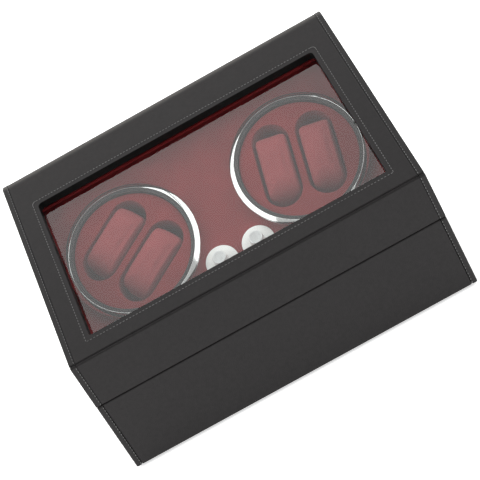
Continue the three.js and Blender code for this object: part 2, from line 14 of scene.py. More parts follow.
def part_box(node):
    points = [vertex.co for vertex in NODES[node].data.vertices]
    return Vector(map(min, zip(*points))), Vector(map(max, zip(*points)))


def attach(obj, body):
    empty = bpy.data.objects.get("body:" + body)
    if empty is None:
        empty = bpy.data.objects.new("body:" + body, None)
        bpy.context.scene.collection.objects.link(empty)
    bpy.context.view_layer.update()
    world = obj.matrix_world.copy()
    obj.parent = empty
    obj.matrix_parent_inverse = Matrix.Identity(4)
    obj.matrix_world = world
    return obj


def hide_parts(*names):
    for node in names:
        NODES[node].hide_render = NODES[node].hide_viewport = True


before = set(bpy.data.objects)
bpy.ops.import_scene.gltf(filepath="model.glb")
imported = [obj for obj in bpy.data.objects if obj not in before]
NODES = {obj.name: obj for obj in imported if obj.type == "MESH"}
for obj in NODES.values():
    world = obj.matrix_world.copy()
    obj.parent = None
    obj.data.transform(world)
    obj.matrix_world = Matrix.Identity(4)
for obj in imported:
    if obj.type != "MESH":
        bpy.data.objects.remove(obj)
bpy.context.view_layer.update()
SIDES = (("left", -1), ("right", 1))
MM = 0.001  # metres

# ---- frames of reference ---------------------------------------------------------------------

LID_DEGREES = 27
LID_SLOPE = math.radians(LID_DEGREES)
DECK_SLOPE = math.radians(42)
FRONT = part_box("base_front_board")[0]  # metres
HALF = 165.0  # half the case's width
DEPTH = 205.0
SEAM = 70.0  # height of the parting line at the front
FOLD = 114.5  # height of the lid top's front edge
TURNTABLE_X = 84.0
TURNTABLE_CENTRE = (118.9, 123.7)  # y and z in the case's frame, on the deck's top
KNOB = Vector((18, -48.8))  # on the deck, from between the turntables

CASE = Matrix.Translation((0, FRONT.y, FRONT.z)) @ Matrix.Scale(MM, 4)
LID = CASE @ Matrix.Translation((0, 0, FOLD)) @ Matrix.Rotation(LID_SLOPE, 4, "X")
DECK = CASE @ Matrix.Translation((0, *TURNTABLE_CENTRE)) @ Matrix.Rotation(DECK_SLOPE, 4, "X")


def on_lid(along, normal):
    """(y, z) in the case's frame of a point in the lid top's frame."""
    c, s = math.cos(LID_SLOPE), math.sin(LID_SLOPE)
    return along * c - normal * s, FOLD + along * s + normal * c


def parting(y, normal):
    """Height of a plane parallel to the parting plane, at depth y."""
    return SEAM + y * math.tan(LID_SLOPE) + normal / math.cos(LID_SLOPE)


def turntable_frame(sign, turn=0.0):
    """The frame of a turntable's middle, with z square to the deck, turned by turn."""
    return DECK @ Matrix.Translation((sign * TURNTABLE_X, 0, 0)) @ Matrix.Rotation(turn, 4, "Z")


# ---- camera and light, in metres -------------------------------------------------------------

CAMERA_PLACE = (0.05859, -1.08566, 0.63149)
CAMERA_ANGLES = (2.904, 26.317, -30.22)  # azimuth, elevation and roll in degrees
LENS = 102.53  # millimetres, as is the sensor
SENSOR = 36
WORLD_COLOUR = (1.0, 0.995, 0.985, 1)
WORLD_STRENGTH = 0.5
SOFTBOX = {
    "radiance": 1.1,
    "location": (-0.06, 0.55, 1.6),
    "target": (0, 0, 0.1),
    "size": (1.7, 1.7),
}
REAR_PANEL = {
    "radiance": 2.6,
    "location": (-0.3, 1.9, 1.3),
    "target": (0, 0, 0.1),
    "size": (1.8, 0.9),
    "colour": (1, 0.95, 0.88),
}
SIDE_PANEL = {"radiance": 1.45, "target": (0, -0.1, 0.15), "size": (2.3, 1.5)}
SIDE_PANEL_PLACE = (1.4, -0.35, 1.25)  # the right one


def make_camera():
    data = bpy.data.cameras.new("camera")
    data.lens = LENS
    data.sensor_width = SENSOR
    camera = bpy.data.objects.new("camera", data)
    azimuth, elevation, roll = (math.radians(angle) for angle in CAMERA_ANGLES)
    camera.matrix_world = (
        Matrix.Translation(CAMERA_PLACE)
        @ Matrix.Rotation(azimuth, 4, "Z")
        @ Matrix.Rotation(math.pi / 2 - elevation, 4, "X")
        @ Matrix.Rotation(roll, 4, "Z")
    )
    bpy.context.scene.collection.objects.link(camera)
    bpy.context.scene.camera = camera


def area_light(name, radiance, location, target, size, colour=(1, 1, 1)):
    data = bpy.data.lights.new(name, "AREA")
    data.color = colour
    data.shape = "RECTANGLE"
    data.size, data.size_y = size
    data.energy = radiance * math.pi * size[0] * size[1]
    light = bpy.data.objects.new(name, data)
    light.location = location
    aim = Vector(target) - Vector(location)
    light.rotation_euler = aim.to_track_quat("-Z", "Y").to_euler()
    bpy.context.scene.collection.objects.link(light)


def make_lights():
    world = bpy.data.worlds.new("studio")
    world.use_nodes = True
    background = world.node_tree.nodes["Background"]
    background.inputs["Color"].default_value = WORLD_COLOUR
    background.inputs["Strength"].default_value = WORLD_STRENGTH
    bpy.context.scene.world = world
    area_light("softbox", **SOFTBOX)
    area_light("rear_panel", **REAR_PANEL)
    x, y, z = SIDE_PANEL_PLACE
    for _, sign in SIDES:
        area_light("side_panel", location=(sign * x, y, z), **SIDE_PANEL)
    bpy.context.scene.view_settings.view_transform = "Standard"


make_camera()
make_lights()

# ---- materials -------------------------------------------------------------------------------


class Finish:
    """A Principled material and short ways to add procedural detail to it."""

    def __init__(self, name, roughness, metallic=0.0, **sockets):
        self.material = bpy.data.materials.new(name)
        self.material.use_nodes = True
        self.tree = self.material.node_tree
        self.shader = self.tree.nodes["Principled BSDF"]
        self.shader.inputs["Roughness"].default_value = roughness
        self.shader.inputs["Metallic"].default_value = metallic
        for socket, value in sockets.items():
            self.shader.inputs[socket.replace("_", " ")].default_value = value
        coordinates = self.tree.nodes.new("ShaderNodeTexCoord")
        self.place = coordinates.outputs["Object"]
        self.relief = None

    def add(self, kind, **values):
        node = self.tree.nodes.new("ShaderNode" + kind)
        for key, value in values.items():
            setattr(node, key, value)
        return node

    def link(self, output, target):
        self.tree.links.new(output, target)

    def stretched(self, scale):
        mapping = self.add("Mapping")
        mapping.inputs["Scale"].default_value = scale
        self.link(self.place, mapping.inputs["Vector"])
        return mapping.outputs["Vector"]

    def noise(self, scale, detail=3.0, rough=0.55, vector=None):
        node = self.add("TexNoise")
        node.inputs["Scale"].default_value = scale
        node.inputs["Detail"].default_value = detail
        node.inputs["Roughness"].default_value = rough
        self.link(vector or self.place, node.inputs["Vector"])
        return node.outputs["Fac"]

    def cells(self, scale, feature="DISTANCE_TO_EDGE"):
        node = self.add("TexVoronoi", feature=feature)
        node.inputs["Scale"].default_value = scale
        self.link(self.place, node.inputs["Vector"])
        return node.outputs["Distance"]

    def ramp(self, factor, *stops):
        node = self.add("ValToRGB")
        elements = node.color_ramp.elements
        while len(elements) < len(stops):
            elements.new(0.5)
        for element, (position, colour) in zip(elements, stops):
            element.position = position
            element.color = (*colour, 1)
        self.link(factor, node.inputs["Fac"])
        return node.outputs["Color"]

    def colour(self, factor, *stops):
        self.link(self.ramp(factor, *stops), self.shader.inputs["Base Color"])

    def roughen(self, factor, low, high):
        node = self.add("MapRange")
        node.inputs["To Min"].default_value = low
        node.inputs["To Max"].default_value = high
        self.link(factor, node.inputs["Value"])
        self.link(node.outputs["Result"], self.shader.inputs["Roughness"])

    def bump(self, height, depth, strength=1.0):
        """Adds relief of that depth in millimetres, on top of any already there."""
        node = self.add("Bump")
        node.inputs["Strength"].default_value = strength
        node.inputs["Distance"].default_value = depth * MM
        self.link(height, node.inputs["Height"])
        if self.relief:
            self.link(self.relief, node.inputs["Normal"])
        self.relief = node.outputs["Normal"]
        self.link(self.relief, self.shader.inputs["Normal"])


def leather_finish(name, dark, light, low=0.38, high=0.54, gloss=0.27):
    finish = Finish(name, 0.45, Specular_IOR_Level=gloss)
    finish.colour(finish.noise(260, 8, 0.7), (0.3, dark), (0.72, light))
    finish.roughen(finish.noise(120, 6, 0.65), low, high)
    finish.bump(finish.noise(45, 3), 0.12, 0.25)
    finish.bump(finish.cells(700), 0.16, 0.6)
    finish.bump(finish.noise(2600, 4, 0.7), 0.05, 0.4)
    return finish.material


def velvet_finish(name, deep, pale):
    finish = Finish(name, 0.9, Specular_IOR_Level=0.12)
    finish.shader.inputs["Sheen Weight"].default_value = 0.35
    finish.shader.inputs["Sheen Roughness"].default_value = 0.4
    finish.shader.inputs["Sheen Tint"].default_value = (0.75, 0.2, 0.22, 1)
    finish.colour(finish.noise(55, 3, 0.5), (0.3, deep), (0.75, pale))
    finish.bump(finish.noise(110, 2), 0.15, 0.2)
    finish.bump(finish.noise(1600, 1, 0.5), 0.02, 0.2)
    return finish.material


def metal_finish(name, colour, roughness, worn, grain=(1, 1, 1)):
    finish = Finish(name, roughness, 1.0)
    dulled = tuple(channel * 0.86 for channel in colour)
    finish.colour(finish.noise(160, 4), (0.3, dulled), (0.7, colour))
    streaks = finish.noise(900, 3, vector=finish.stretched(grain))
    finish.roughen(streaks, roughness, worn)
    finish.bump(streaks, 0.01, 0.3)
    return finish.material


def plastic_finish(name, dark, light, low, high, coat=0.0):
    finish = Finish(name, low, Coat_Weight=coat, Coat_Roughness=0.08)
    finish.colour(finish.noise(70, 4), (0.3, dark), (0.7, light))
    finish.roughen(finish.noise(240, 4), low, high)
    finish.bump(finish.noise(1400, 3), 0.03, 0.4)
    return finish.material


PANE_FACES = 1.9  # a pane mirrors at both its faces, the second a little less than the first


def glass_finish():
    """A clear pane: what it doesn't mirror passes straight through, and so does lamplight."""
    material = bpy.data.materials.new("pane_glass")
    material.use_nodes = True
    tree = material.node_tree
    tree.nodes.clear()
    output = tree.nodes.new("ShaderNodeOutputMaterial")
    mix = tree.nodes.new("ShaderNodeMixShader")
    through = tree.nodes.new("ShaderNodeBsdfTransparent")
    through.inputs["Color"].default_value = (0.975, 0.985, 0.98, 1)
    mirror = tree.nodes.new("ShaderNodeBsdfGlossy")
    mirror.inputs["Roughness"].default_value = 0.015
    fresnel = tree.nodes.new("ShaderNodeFresnel")
    fresnel.inputs["IOR"].default_value = 1.5
    geometry = tree.nodes.new("ShaderNodeNewGeometry")
    outward = tree.nodes.new("ShaderNodeMath")
    outward.operation = "SUBTRACT"
    outward.inputs[0].default_value = 1
    both_faces = tree.nodes.new("ShaderNodeMath")
    both_faces.operation = "MULTIPLY"
    both_faces.inputs[1].default_value = PANE_FACES
    share = tree.nodes.new("ShaderNodeMath")
    share.operation = "MULTIPLY"
    share.use_clamp = True
    link = tree.links.new
    link(geometry.outputs["Backfacing"], outward.inputs[1])
    link(fresnel.outputs["Fac"], both_faces.inputs[0])
    link(both_faces.outputs[0], share.inputs[0])
    link(outward.outputs[0], share.inputs[1])
    link(share.outputs[0], mix.inputs["Fac"])
    link(through.outputs[0], mix.inputs[1])
    link(mirror.outputs[0], mix.inputs[2])
    link(mix.outputs[0], output.inputs["Surface"])
    return material


def circuit_finish():
    finish = Finish("circuit_lacquer", 0.4, Coat_Weight=0.3)
    tracks = finish.cells(260, "F1")
    finish.colour(tracks, (0.35, (0.01, 0.09, 0.04)), (0.4, (0.03, 0.2, 0.09)))
    finish.bump(tracks, 0.05, 0.4)
    return finish.material


LEATHER = leather_finish("black_leather", (0.0078, 0.0068, 0.0072), (0.014, 0.0122, 0.0128))
STRIP_LEATHER = leather_finish("strip_leather", (0.0095, 0.0088, 0.009), (0.017, 0.0158, 0.016))
# painted shade: darker, duller leather for the window's walls, in place of the shadow that falls in
# the recess
RECESS_SHADE_LEATHER = leather_finish(
    "recess_painted_shade", (0.004, 0.004, 0.004), (0.008, 0.008, 0.008), gloss=0.08
)
VELVET = velvet_finish("wine_velvet", (0.21, 0.018, 0.021), (0.265, 0.024, 0.028))
# painted light: the pillows are the deck's velvet, made lighter and paler here for the light and
# sheen they catch standing up into the light
PILLOW_LIT_VELVET = velvet_finish("pillow_velvet_painted_light", (0.3, 0.055, 0.06), (0.36, 0.07, 0.076))
SATIN = metal_finish("satin_cap", (0.9, 0.91, 0.92), 0.3, 0.42)
THREAD = plastic_finish("grey_thread", (0.11, 0.11, 0.11), (0.18, 0.18, 0.18), 0.6, 0.8)
CHROME = metal_finish("polished_chrome", (0.93, 0.935, 0.94), 0.06, 0.12)
STEEL = metal_finish("plain_steel", (0.5, 0.5, 0.51), 0.25, 0.45, (1, 1, 12))
BRASS = metal_finish("hinge_brass", (0.72, 0.5, 0.2), 0.22, 0.4, (10, 1, 1))
WHITE = plastic_finish("white_plastic", (0.96, 0.96, 0.95), (0.985, 0.985, 0.975), 0.25, 0.36, 0.3)
PRINT = plastic_finish("grey_print", (0.24, 0.24, 0.25), (0.3, 0.3, 0.31), 0.5, 0.6)
BLACK = plastic_finish("black_plastic", (0.012, 0.012, 0.013), (0.02, 0.02, 0.022), 0.4, 0.55)
RUBBER = plastic_finish("black_rubber", (0.014, 0.014, 0.014), (0.03, 0.03, 0.03), 0.7, 0.9)
GLASS = glass_finish()
CIRCUIT = circuit_finish()

# ---- geometry helpers ------------------------------------------------------------------------


def mesh_object(name, mesh, material=None):
    obj = bpy.data.objects.new(name, mesh)
    bpy.context.scene.collection.objects.link(obj)
    if material:
        mesh.materials.append(material)
    return obj


def from_bmesh(name, bm, matrix, material=None):
    """A mesh object from bm's vertices, which are millimetres in the frame that matrix gives."""
    bmesh.ops.recalc_face_normals(bm, faces=bm.faces)
    bm.transform(matrix)
    mesh = bpy.data.meshes.new(name)
    bm.to_mesh(mesh)
    bm.free()
    for polygon in mesh.polygons:
        polygon.use_smooth = True
    return mesh_object(name, mesh, material)


def prism_into(bm, outline, low, high, point):
    """Adds an outline of (a, b) pairs swept from low to high, where point maps (a, b, h) to xyz."""
    rings = [[bm.verts.new(point(a, b, h)) for a, b in outline] for h in (low, high)]
    bm.faces.new(rings[0])
    bm.faces.new(list(reversed(rings[1])))
    for i in range(len(outline)):
        j = (i + 1) % len(outline)
        bm.faces.new((rings[0][i], rings[0][j], rings[1][j], rings[1][i]))


def along_x(a, b, h):
    return h, a, b


def along_z(a, b, h):
    return a, b, h


def along_y(a, b, h):
    return a, h, b


def prism(name, outline, low, high, matrix, material=None, point=along_x):
    bm = bmesh.new()
    prism_into(bm, outline, low, high, point)
    return from_bmesh(name, bm, matrix, material)


def lathe(name, profile, matrix, material=None, segments=96, closed=False):
    """(radius, height) pairs turned about the local Z axis; radius 0 closes an end."""
    bm = bmesh.new()
    rings = []
    for radius, height in profile:
        if radius < 1e-6:
            rings.append([bm.verts.new((0, 0, height))])
            continue
        turn = (2 * math.pi * i / segments for i in range(segments))
        points = ((radius * math.cos(a), radius * math.sin(a), height) for a in turn)
        rings.append([bm.verts.new(point) for point in points])
    pairs = list(zip(rings, rings[1:]))
    if closed:
        pairs.append((rings[-1], rings[0]))
    for lower, upper in pairs:
        for i in range(segments):
            j = (i + 1) % segments
            if len(lower) == 1 and len(upper) > 1:
                bm.faces.new((lower[0], upper[j], upper[i]))
            elif len(upper) == 1 and len(lower) > 1:
                bm.faces.new((lower[i], lower[j], upper[0]))
            elif len(lower) > 1:
                bm.faces.new((lower[i], lower[j], upper[j], upper[i]))
    return from_bmesh(name, bm, matrix, material)


def arc(centre, radius, start, end, steps):
    """Points on a circle from start to end, in degrees."""
    angles = (math.radians(start + (end - start) * i / steps) for i in range(steps + 1))
    return [(centre[0] + radius * math.cos(a), centre[1] + radius * math.sin(a)) for a in angles]


def keep_creases(obj, angle):
    """Keeps the edges sharper than angle crisp in the shading."""
    bm = bmesh.new()
    bm.from_mesh(obj.data)
    for edge in bm.edges:
        edge.smooth = not edge.is_manifold or edge.calc_face_angle() < math.radians(angle)
    bm.to_mesh(obj.data)
    bm.free()


def circle(x, y, radius, steps):
    """A closed outline of so many points."""
    return arc((x, y), radius, 0, 360 - 360 / steps, steps - 1)


def stadium(x, width, length, steps=24):
    """The outline of a round-ended slot along y."""
    radius, reach = width / 2, length / 2 - width / 2
    return arc((x, reach), radius, 0, 180, steps) + arc((x, -reach), radius, 180, 360, steps)


def cut(obj, *cutters):
    """Takes the cutters from obj once its modifiers are settled."""
    for cutter in cutters:
        modifier = obj.modifiers.new("cut", "BOOLEAN")
        modifier.operation = "DIFFERENCE"
        modifier.solver = "EXACT"
        modifier.object = cutter


def soften(obj, width, segments=3, angle=30.0):
    """Rounds the edges sharper than angle, and evens the shading."""
    bevel = obj.modifiers.new("soften", "BEVEL")
    bevel.width = width * MM
    bevel.segments = segments
    bevel.limit_method = "ANGLE"
    bevel.angle_limit = math.radians(angle)
    bevel.miter_outer = "MITER_ARC"
    shade = obj.modifiers.new("shade", "WEIGHTED_NORMAL")
    shade.keep_sharp = True


def settle(obj, *cutters):
    """Makes the modifiers' result the mesh itself, and drops the cutters."""
    graph = bpy.context.evaluated_depsgraph_get()
    mesh = bpy.data.meshes.new_from_object(obj.evaluated_get(graph), depsgraph=graph)
    obj.modifiers.clear()
    obj.data = mesh
    for cutter in cutters:
        bpy.data.objects.remove(cutter)


def place(obj, body, slot, *nodes):
    """Fixes a piece to its body and hides the nodes that it stands for. Its slot is not used."""
    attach(obj, body)
    if nodes:
        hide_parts(*nodes)
    return obj


# ---- leather case ----------------------------------------------------------------------------

STRIP = 5.4  # width of the edge strips, which stand a little proud of the panels
PANEL_HALF = HALF - STRIP
PANEL_GAP = 0.12  # between a panel's end and its strip
SINK = 0.25  # depth of the panels under the strips
BOARD = 9.0
CORE_GAP = 0.1  # between a side board and the boards that meet it
RIM = 0.5  # half the parting gap
RAIL = 8.6  # thickness of the lid's top
REAR_CENTRE = (191.0, 196.1)
REAR_RADIUS = 14.0
PANEL_EDGE = 0.8  # rounding of a wrapped edge
STRIP_EDGE = 1.3
WINDOW = {"half": 139.5, "front": 21.0, "rear": 175.08, "corner": 3.5, "reach": 20}
HINGE_X = 100.0
HINGE_AXIS = (DEPTH, parting(DEPTH, 0))
HINGE_POCKET = {"half": 15.3, "front": -8.8, "rear": 4, "deep": 1.4, "over": 0.6, "knuckle": 2.6}
JACK = {"x": 110, "z": 32, "hole": 5.8, "proud": 0.3}
# the underside of the lid's top: its height at the rear board, its bend, its height at the front
LID_INSIDE = {"rear": 190, "bend": (167.92, 190.41), "front": 109.43}
LID_CORE = {"rear": 189.9, "bend": (166.8, 189.7), "front": 109.3}


def outer_lid(inset):
    """The lid's outside line from the front rim, over the pressed fold, to the rear rim."""
    rounding = arc(REAR_CENTRE, REAR_RADIUS - inset, 90 + LID_DEGREES, 0, 14)
    return [
        (inset, parting(inset, RIM)),
        (inset, FOLD - 1.3),
        (inset + 0.5, FOLD - 0.75),
        on_lid(0.9, -0.25 - inset),
        on_lid(1.3, -1.3 - inset),
        on_lid(2.2, -1.2 - inset),
        on_lid(2.7, -inset),
        *rounding,
        (DEPTH - inset, parting(DEPTH - inset, RIM)),
    ]


def hinge_cutters(direction):
    """Pockets for the hinge leaves and their knuckles, above or below the parting plane."""
    hinge = CASE @ Matrix.Translation((0, *HINGE_AXIS)) @ Matrix.Rotation(LID_SLOPE, 4, "X")
    made = []
    deep, over = HINGE_POCKET["deep"], HINGE_POCKET["over"]
    bottom, top = (-over, deep) if direction > 0 else (-deep, over)
    front, rear = HINGE_POCKET["front"], HINGE_POCKET["rear"]
    leaf = [(front, bottom), (rear, bottom), (rear, top), (front, top)]
    knuckle = circle(0, 0, HINGE_POCKET["knuckle"], 24)
    for _, sign in SIDES:
        low, high = (sign * HINGE_X + end * HINGE_POCKET["half"] for end in (-1, 1))
        made.append(prism("leaf_pocket", leaf, low, high, hinge))
        made.append(prism("knuckle_pocket", knuckle, low, high, hinge))
    return made


def rounded_window(grow=0.0):
    """The window's outline, which has rounded corners at the rear only."""
    half, front = WINDOW["half"] + grow, WINDOW["front"] - grow
    rear, corner = WINDOW["rear"] + grow, WINDOW["corner"]
    return [
        (-half, front),
        (half, front),
        *arc((half - corner, rear - corner), corner, 0, 90, 8),
        *arc((-half + corner, rear - corner), corner, 90, 180, 8),
    ]


def paint_recess_shade(wrap):
    """Painted shade: the walls of the window get a darker, less glossy copy of the leather,
    standing for the shadow inside the recess.
    """
    wrap.data.materials.append(RECESS_SHADE_LEATHER)
    to_lid = LID.inverted()
    slack = 0.2
    for polygon in wrap.data.polygons:
        x, along, normal = to_lid @ polygon.center
        across = abs(x) < WINDOW["half"] + slack
        inside = WINDOW["front"] - slack < along < WINDOW["rear"] + slack
        if across and inside and -RAIL - 0.1 < normal < -0.5:
            polygon.material_index = 1


def inner_lid(near, far, inside):
    """The lid's inside line from the rear rim, under the top, to the front rim."""
    return [
        (far, parting(far, RIM)),
        (far, inside["rear"]),
        inside["bend"],
        (near, inside["front"]),
        (near, parting(near, RIM)),
    ]


def make_lid():
    outline = outer_lid(SINK) + inner_lid(BOARD, DEPTH - BOARD, LID_INSIDE)
    wrap = prism("lid_wrap", outline, -PANEL_HALF, PANEL_HALF, CASE, LEATHER)
    reach = WINDOW["reach"]
    window = prism("window_cutter", rounded_window(), -reach, reach, LID, point=along_z)
    pockets = hinge_cutters(1)
    cut(wrap, window)
    soften(wrap, PANEL_EDGE)
    cut(wrap, *pockets)
    settle(wrap, window, *pockets)
    paint_recess_shade(wrap)
    rails = ["lid_rail_front", "lid_rail_rear", "lid_rail_left", "lid_rail_right"]
    place(wrap, "lid", "leather", *rails, "lid_front_board", "lid_rear_board")

    *others, front_rim = inner_lid(BOARD + CORE_GAP, DEPTH - BOARD - CORE_GAP, LID_CORE)
    core = [front_rim, *others]
    for name, sign in SIDES:
        make_side(f"lid_strip_{name}", sign, outer_lid(0), core, "lid", f"lid_side_{name}")


def make_side(name, sign, outline, core, body, node):
    """A wrapped side board: an outer skin whose edge shows as a strip, and the board behind it."""
    low, high = sorted((sign * (PANEL_HALF + PANEL_GAP), sign * HALF))
    skin = prism(name, outline, low, high, CASE, STRIP_LEATHER)
    soften(skin, STRIP_EDGE, 4)
    overlap = 2
    low, high = sorted((sign * (HALF - BOARD), sign * (PANEL_HALF + overlap)))
    board = prism("side_core", core, low, high, CASE, STRIP_LEATHER)
    join = skin.modifiers.new("join", "BOOLEAN")
    join.operation = "UNION"
    join.solver = "EXACT"
    join.object = board
    settle(skin, board)
    place(skin, body, "leather", node)


def make_base():
    front, rear = SINK, DEPTH - SINK
    profile = [
        (front, SINK),
        (rear, SINK),
        (rear, parting(rear, -RIM)),
        (DEPTH - BOARD, parting(DEPTH - BOARD, -RIM)),
        (DEPTH - BOARD, BOARD),
        (BOARD, BOARD),
        (BOARD, parting(BOARD, -RIM)),
        (front, parting(front, -RIM)),
    ]
    wrap = prism("base_wrap", profile, -PANEL_HALF, PANEL_HALF, CASE, LEATHER)
    bore = circle(JACK["x"], JACK["z"], JACK["hole"], 48)
    hole = prism("jack_hole", bore, DEPTH - 25, DEPTH + 15, CASE, point=along_y)
    pockets = hinge_cutters(-1)
    soften(wrap, PANEL_EDGE)
    cut(wrap, hole, *pockets)
    settle(wrap, hole, *pockets)
    boards = ("base_front_board", "base_rear_board", "base_bottom_board")
    place(wrap, "base", "leather", *boards)

    outline = [
        (0, 0),
        (DEPTH, 0),
        (DEPTH, parting(DEPTH, -RIM)),
        (0, parting(0, -RIM)),
    ]
    near, far = BOARD + CORE_GAP, DEPTH - BOARD - CORE_GAP
    core = [
        (near, BOARD + CORE_GAP),
        (far, BOARD + CORE_GAP),
        (far, parting(far, -RIM)),
        (near, parting(near, -RIM)),
    ]
    for name, sign in SIDES:
        make_side(f"base_strip_{name}", sign, outline, core, "base", f"base_side_{name}")


# ---- stitching -------------------------------------------------------------------------------

STITCH = {"pitch": 3.1, "length": 1.9, "radius": 0.32}
STITCH_SHAPE = ((0, 0.35), (0.14, 0.85), (0.5, 1), (0.86, 0.85), (1, 0.35))  # share, swell
STITCH_SIDES = 6
STITCH_INSET = 4.7  # from the case's sides
BORDER_INSET = 4.6  # from the window
STITCH_END = 0.6  # bare leather between a line's end and the parting line


def add_stitch(bm, start, end, normal):
    """One stitch: a short thread that dips into the leather at both ends."""
    axis = (end - start).normalized()
    side = axis.cross(normal).normalized()
    rings = []
    for share, swell in STITCH_SHAPE:
        radius = STITCH["radius"] * swell
        centre = start.lerp(end, share) + normal * (STITCH["radius"] * (swell - 0.75))
        ring = []
        for k in range(STITCH_SIDES):
            angle = 2 * math.pi * k / STITCH_SIDES
            offset = side * math.cos(angle) + normal * math.sin(angle)
            ring.append(bm.verts.new(centre + offset * radius))
        rings.append(ring)
    bm.faces.new(list(reversed(rings[0])))
    bm.faces.new(rings[-1])
    for lower, upper in zip(rings, rings[1:]):
        for k in range(STITCH_SIDES):
            j = (k + 1) % STITCH_SIDES
            bm.faces.new((lower[k], lower[j], upper[j], upper[k]))


def stitch_line(bm, points, normals):
    """Stitches at an even pitch along a polyline; normals has one outward direction a segment."""
    for (a, b), normal in zip(zip(points, points[1:]), normals):
        length = (b - a).length
        count = max(1, round(length / STITCH["pitch"]))
        step = (b - a) / count
        spare = (1 - STITCH["length"] / (length / count)) / 2
        for i in range(count):
            start = a + step * (i + spare)
            end = a + step * (i + 1 - spare)
            add_stitch(bm, start, end, normal)


def outline_normals(outline):
    """Outward directions of an open (y, z) line that runs clockwise seen from +X."""
    made = []
    for (y0, z0), (y1, z1) in zip(outline, outline[1:]):
        made.append(Vector((0, -(z1 - z0), y1 - y0)).normalized())
    return made


def strip_stitches(bm, outline, x):
    """Stitches along an open (y, z) line at one x."""
    points = [Vector((x, y, z)) for y, z in outline]
    stitch_line(bm, points, outline_normals(outline))


def make_stitching():
    lid_line = outer_lid(0)
    fold = [lid_line[0], lid_line[1]]
    top = [lid_line[6], lid_line[7]]
    round_end = arc(REAR_CENTRE, REAR_RADIUS, 90 + LID_DEGREES, 0, 6)
    rear = [round_end[-1], lid_line[-1]]
    bm = bmesh.new()
    for _, sign in SIDES:
        for line in (fold, top, round_end, rear):
            strip_stitches(bm, line, sign * (HALF - STITCH_INSET))
    lid_from_case = (CASE.inverted() @ LID).to_3x3()
    up = (lid_from_case @ Vector((0, 0, 1))).normalized()
    border = rounded_window(BORDER_INSET)
    border.append(border[0])
    points = [Vector((x, *on_lid(t, -SINK))) for x, t in border]
    stitch_line(bm, points, [up] * len(points))
    stitches = from_bmesh("lid_stitches", bm, CASE, THREAD)
    place(stitches, "lid", "leather")

    bm = bmesh.new()
    for _, sign in SIDES:
        x = sign * (HALF - STITCH_INSET)
        strip_stitches(bm, [(0, 1), (0, parting(0, -RIM) - STITCH_END)], x)
        strip_stitches(bm, [(DEPTH, parting(DEPTH, -RIM) - STITCH_END), (DEPTH, 1)], x)
    place(from_bmesh("base_stitches", bm, CASE, THREAD), "base", "leather")


# ---- velvet deck, rings and wells ------------------------------------------------------------

DECK_FRONT = (9.8 - TURNTABLE_CENTRE[0]) / math.cos(DECK_SLOPE)
DECK_REAR = (186 - TURNTABLE_CENTRE[0]) / math.cos(DECK_SLOPE)
DECK_HALF = 152.4
DECK_THICK = 5
RING_HOLE = 57.8
SHAFT_HOLE = 3.3
THROUGH = 9  # half the height of a cutter that passes right through the deck
TURN = {"left": math.radians(-58), "right": math.radians(-12)}
WELL = {"width": 34.0, "length": 80.0, "spacing": 40.5, "bottom": -32.0, "reach": 20}
INSERT = {"radius": 54.0, "top": 6.0, "bottom": -39.7, "edge": 0.9}

# (radius, height) round a turntable's middle: a skirt, a broad bezel and a rolled inner lip
RING = [
    (61.3, 0.9),
    (62.3, 0.9),
    (62.5, 1.1),
    (62.5, 7.1),
    (62.45, 7.5),
    *arc((53.54, -4.35), 14.9, 54, 72, 10),
    (58.15, 9.78),
    (57.95, 9.7),
    (57.7, 9.3),
    (57.45, 8.4),
    (58.2, 8.35),
    (61.3, 5.9),
]
# the black seat inside the ring, with a groove round its top
RING_SEAT = [
    (54.2, 6.4),
    (54.7, 6.4),
    (54.7, 8.32),
    (57.3, 8.32),
    (57.3, 8.9),
    (57.0, 9.3),
    (56.6, 9.35),
    (56.25, 8.75),
    (55.75, 8.7),
    (55.5, 9.15),
    (54.9, 9.2),
    (54.4, 9.0),
    (54.2, 8.6),
]
RING_STEPS = 160


def make_deck():
    outline = [
        (-DECK_HALF, DECK_FRONT),
        (DECK_HALF, DECK_FRONT),
        (DECK_HALF, DECK_REAR),
        (-DECK_HALF, DECK_REAR),
    ]
    deck = prism("deck_velvet", outline, -DECK_THICK, 0, DECK, VELVET, along_z)
    holes = []
    for _, sign in SIDES:
        rim = circle(sign * TURNTABLE_X, 0, RING_HOLE, 128)
        shaft = circle(sign * KNOB.x, KNOB.y, SHAFT_HOLE, 32)
        for hole, around in (("ring_hole", rim), ("shaft_hole", shaft)):
            holes.append(prism(hole, around, -THROUGH, THROUGH, DECK, point=along_z))
    cut(deck, *holes)
    soften(deck, PANEL_EDGE)
    settle(deck, *holes)
    place(deck, "base", "velvet", "deck_panel")


def make_ring(name, sign):
    station = turntable_frame(sign)
    ring = lathe(f"ring_{name}", RING, station, CHROME, RING_STEPS, closed=True)
    keep_creases(ring, 35)
    place(ring, f"turntable_{name}", "chrome", f"turntable_ring_{name}")
    seat = lathe(f"ring_seat_{name}", RING_SEAT, station, BLACK, RING_STEPS, closed=True)
    place(seat, f"turntable_{name}", "black_plastic")


def make_insert(name, sign):
    station = turntable_frame(sign, TURN[name])
    rim = circle(0, 0, INSERT["radius"], 128)
    insert = prism(f"insert_{name}", rim, INSERT["bottom"], INSERT["top"], station, VELVET, along_z)
    wells = []
    for side in (-1, 1):
        shape = stadium(side * WELL["spacing"] / 2, WELL["width"], WELL["length"])
        low, high = WELL["bottom"], WELL["reach"]
        wells.append(prism("well", shape, low, high, station, point=along_z))
    cut(insert, *wells)
    soften(insert, INSERT["edge"], 4)
    settle(insert, *wells)
    place(insert, f"turntable_{name}", "velvet", f"velvet_insert_{name}")


# ---- watch pillows ---------------------------------------------------------------------------

